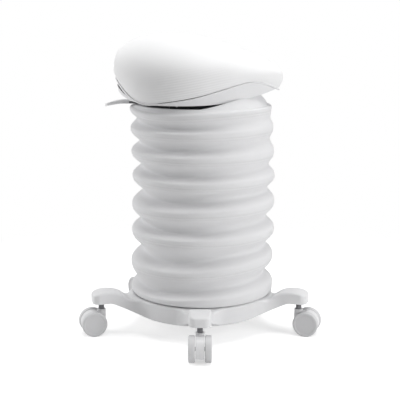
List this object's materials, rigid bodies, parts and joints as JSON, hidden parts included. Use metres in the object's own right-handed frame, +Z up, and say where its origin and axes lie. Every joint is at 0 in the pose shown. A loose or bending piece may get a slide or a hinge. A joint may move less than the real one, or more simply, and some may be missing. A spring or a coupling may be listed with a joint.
{
  "type": "wobble stool",
  "caption": "Height-adjustable wobble stool: saddle seat on a gas lift inside a ribbed cloth sleeve, tilting on a star base with twin-wheel casters.",
  "frame": {"origin": "on the floor, on the upright column's axis", "axes": "+Z up along the column, +X towards the saddle's nose, -Y along one arm of the base"},
  "size_m": [0.4838, 0.4603, 0.587],
  "materials": {
    "white_plastic": "satin moulded",
    "wheel_plastic": "satin moulded",
    "knit_cloth": "soft knit",
    "seat_cloth": "fine ribbed knit",
    "dark_steel": "dark satin",
    "bright_steel": "machined",
    "cast_metal": "cast",
    "bronze": "sintered",
    "rubber": "matte",
    "bearing_plastic": "moulded",
    "board": "plywood"
  },
  "bodies": {
    "base": {"star_base": "white_plastic", "hub_cover": "white_plastic", "cover_screws": "bright_steel", "caster_sleeves": "bright_steel", "caster_stems": "dark_steel", "yoke": "bright_steel", "yoke_screws": "bright_steel", "outer_pins": "bright_steel", "rubber_buffer": "rubber", "lower_hem_ring": "white_plastic", "sleeve": "knit_cloth"},
    "gimbal": {"gimbal_ring": "bright_steel", "gimbal_bushes": "bronze"},
    "column": {"inner_pins": "bright_steel", "column_socket": "cast_metal", "outer_tube": "dark_steel", "guide_bush": "bearing_plastic", "rod_clip": "bright_steel", "lower_race": "bright_steel"},
    "rod": {"piston_rod": "bright_steel", "upper_race": "bright_steel", "bump_stop": "rubber"},
    "cage": {"ball_cage": "bearing_plastic", "thrust_balls": "bright_steel"},
    "carriage": {"sleeve_carrier": "white_plastic", "carrier_washer": "bearing_plastic", "upper_hem_ring": "white_plastic"},
    "seat": {"gas_cylinder": "bright_steel", "carrier_clip": "bright_steel", "seat_plate": "dark_steel", "lever_pin": "bright_steel", "seat_pan": "white_plastic", "seat_board": "board", "seat_cushion": "seat_cloth", "seat_screws": "bright_steel"},
    "lever": {"lever_rod": "dark_steel", "lever_paddle": "white_plastic"},
    "valve": {"valve_button": "bright_steel"},
    "caster_1": {"hood_1": "white_plastic", "axle_1": "dark_steel"},
    "left_wheel_1": {"wheel_1a": "wheel_plastic"},
    "right_wheel_1": {"wheel_1b": "wheel_plastic"},
    "caster_2": {"hood_2": "white_plastic", "axle_2": "dark_steel"},
    "left_wheel_2": {"wheel_2a": "wheel_plastic"},
    "right_wheel_2": {"wheel_2b": "wheel_plastic"},
    "caster_3": {"hood_3": "white_plastic", "axle_3": "dark_steel"},
    "left_wheel_3": {"wheel_3a": "wheel_plastic"},
    "right_wheel_3": {"wheel_3b": "wheel_plastic"},
    "caster_4": {"hood_4": "white_plastic", "axle_4": "dark_steel"},
    "left_wheel_4": {"wheel_4a": "wheel_plastic"},
    "right_wheel_4": {"wheel_4b": "wheel_plastic"},
    "caster_5": {"hood_5": "white_plastic", "axle_5": "dark_steel"},
    "left_wheel_5": {"wheel_5a": "wheel_plastic"},
    "right_wheel_5": {"wheel_5b": "wheel_plastic"}
  },
  "joints": [
    {"name": "wobble_x", "type": "hinge", "parent": "base", "child": "gimbal", "pos_m": [0, 0, 0.1], "axis": [1, 0, 0], "range_deg": [-6, 6], "stiffness_Nm_per_rad": 150, "deforming": ["sleeve", "rubber_buffer"]},
    {"name": "wobble_y", "type": "hinge", "parent": "gimbal", "child": "column", "pos_m": [0, 0, 0.1], "axis": [0, 1, 0], "range_deg": [-6, 6], "stiffness_Nm_per_rad": 150, "deforming": ["sleeve", "rubber_buffer"]},
    {"name": "lift", "type": "slide", "parent": "column", "child": "carriage", "axis": [0, 0, 1], "range_m": [-0.1, 0], "deforming": ["sleeve"]},
    {"name": "seat_swivel", "type": "hinge", "parent": "carriage", "child": "seat", "pos_m": [0, 0, 0.4], "axis": [0, 0, 1], "continuous": true},
    {"name": "rod_turn", "type": "hinge", "parent": "column", "child": "rod", "pos_m": [0, 0, 0.08], "axis": [0, 0, 1], "continuous": true},
    {"name": "cage_turn", "type": "hinge", "parent": "column", "child": "cage", "pos_m": [0, 0, 0.0745], "axis": [0, 0, 1], "continuous": true},
    {"name": "lever_rock", "type": "hinge", "parent": "seat", "child": "lever", "pos_m": [-0.045, 0, 0.449], "axis": [0, 1, 0], "range_deg": [0, 2.6], "stiffness_Nm_per_rad": 2},
    {"name": "valve_press", "type": "slide", "parent": "seat", "child": "valve", "axis": [0, 0, 1], "range_m": [-0.0021, 0], "stiffness_N_per_m": 800},
    {"name": "swivel_1", "type": "hinge", "parent": "base", "child": "caster_1", "pos_m": [0, -0.2058, 0.05], "axis": [0, 0, 1], "continuous": true},
    {"name": "left_roll_1", "type": "hinge", "parent": "caster_1", "child": "left_wheel_1", "pos_m": [0, -0.223, 0.025], "axis": [1, 0, 0], "continuous": true},
    {"name": "right_roll_1", "type": "hinge", "parent": "caster_1", "child": "right_wheel_1", "pos_m": [0, -0.223, 0.025], "axis": [1, 0, 0], "continuous": true},
    {"name": "swivel_2", "type": "hinge", "parent": "base", "child": "caster_2", "pos_m": [0.19573, -0.0636, 0.05], "axis": [0, 0, 1], "continuous": true},
    {"name": "left_roll_2", "type": "hinge", "parent": "caster_2", "child": "left_wheel_2", "pos_m": [0.21209, -0.06891, 0.025], "axis": [0.309, 0.9511, 0], "continuous": true},
    {"name": "right_roll_2", "type": "hinge", "parent": "caster_2", "child": "right_wheel_2", "pos_m": [0.21209, -0.06891, 0.025], "axis": [0.309, 0.9511, 0], "continuous": true},
    {"name": "swivel_3", "type": "hinge", "parent": "base", "child": "caster_3", "pos_m": [0.12097, 0.1665, 0.05], "axis": [0, 0, 1], "continuous": true},
    {"name": "left_roll_3", "type": "hinge", "parent": "caster_3", "child": "left_wheel_3", "pos_m": [0.13108, 0.18041, 0.025], "axis": [-0.809, 0.5878, 0], "continuous": true},
    {"name": "right_roll_3", "type": "hinge", "parent": "caster_3", "child": "right_wheel_3", "pos_m": [0.13108, 0.18041, 0.025], "axis": [-0.809, 0.5878, 0], "continuous": true},
    {"name": "swivel_4", "type": "hinge", "parent": "base", "child": "caster_4", "pos_m": [-0.12097, 0.1665, 0.05], "axis": [0, 0, 1], "continuous": true},
    {"name": "left_roll_4", "type": "hinge", "parent": "caster_4", "child": "left_wheel_4", "pos_m": [-0.13108, 0.18041, 0.025], "axis": [-0.809, -0.5878, 0], "continuous": true},
    {"name": "right_roll_4", "type": "hinge", "parent": "caster_4", "child": "right_wheel_4", "pos_m": [-0.13108, 0.18041, 0.025], "axis": [-0.809, -0.5878, 0], "continuous": true},
    {"name": "swivel_5", "type": "hinge", "parent": "base", "child": "caster_5", "pos_m": [-0.19573, -0.0636, 0.05], "axis": [0, 0, 1], "continuous": true},
    {"name": "left_roll_5", "type": "hinge", "parent": "caster_5", "child": "left_wheel_5", "pos_m": [-0.21209, -0.06891, 0.025], "axis": [0.309, -0.9511, 0], "continuous": true},
    {"name": "right_roll_5", "type": "hinge", "parent": "caster_5", "child": "right_wheel_5", "pos_m": [-0.21209, -0.06891, 0.025], "axis": [0.309, -0.9511, 0], "continuous": true}
  ],
  "couplings": [
    {"joint": "rod_turn", "follows": "seat_swivel", "ratio": 1},
    {"joint": "cage_turn", "follows": "seat_swivel", "ratio": 0.5},
    {"joint": "valve_press", "follows": "lever_rock", "m_per_rad": -0.045}
  ]
}
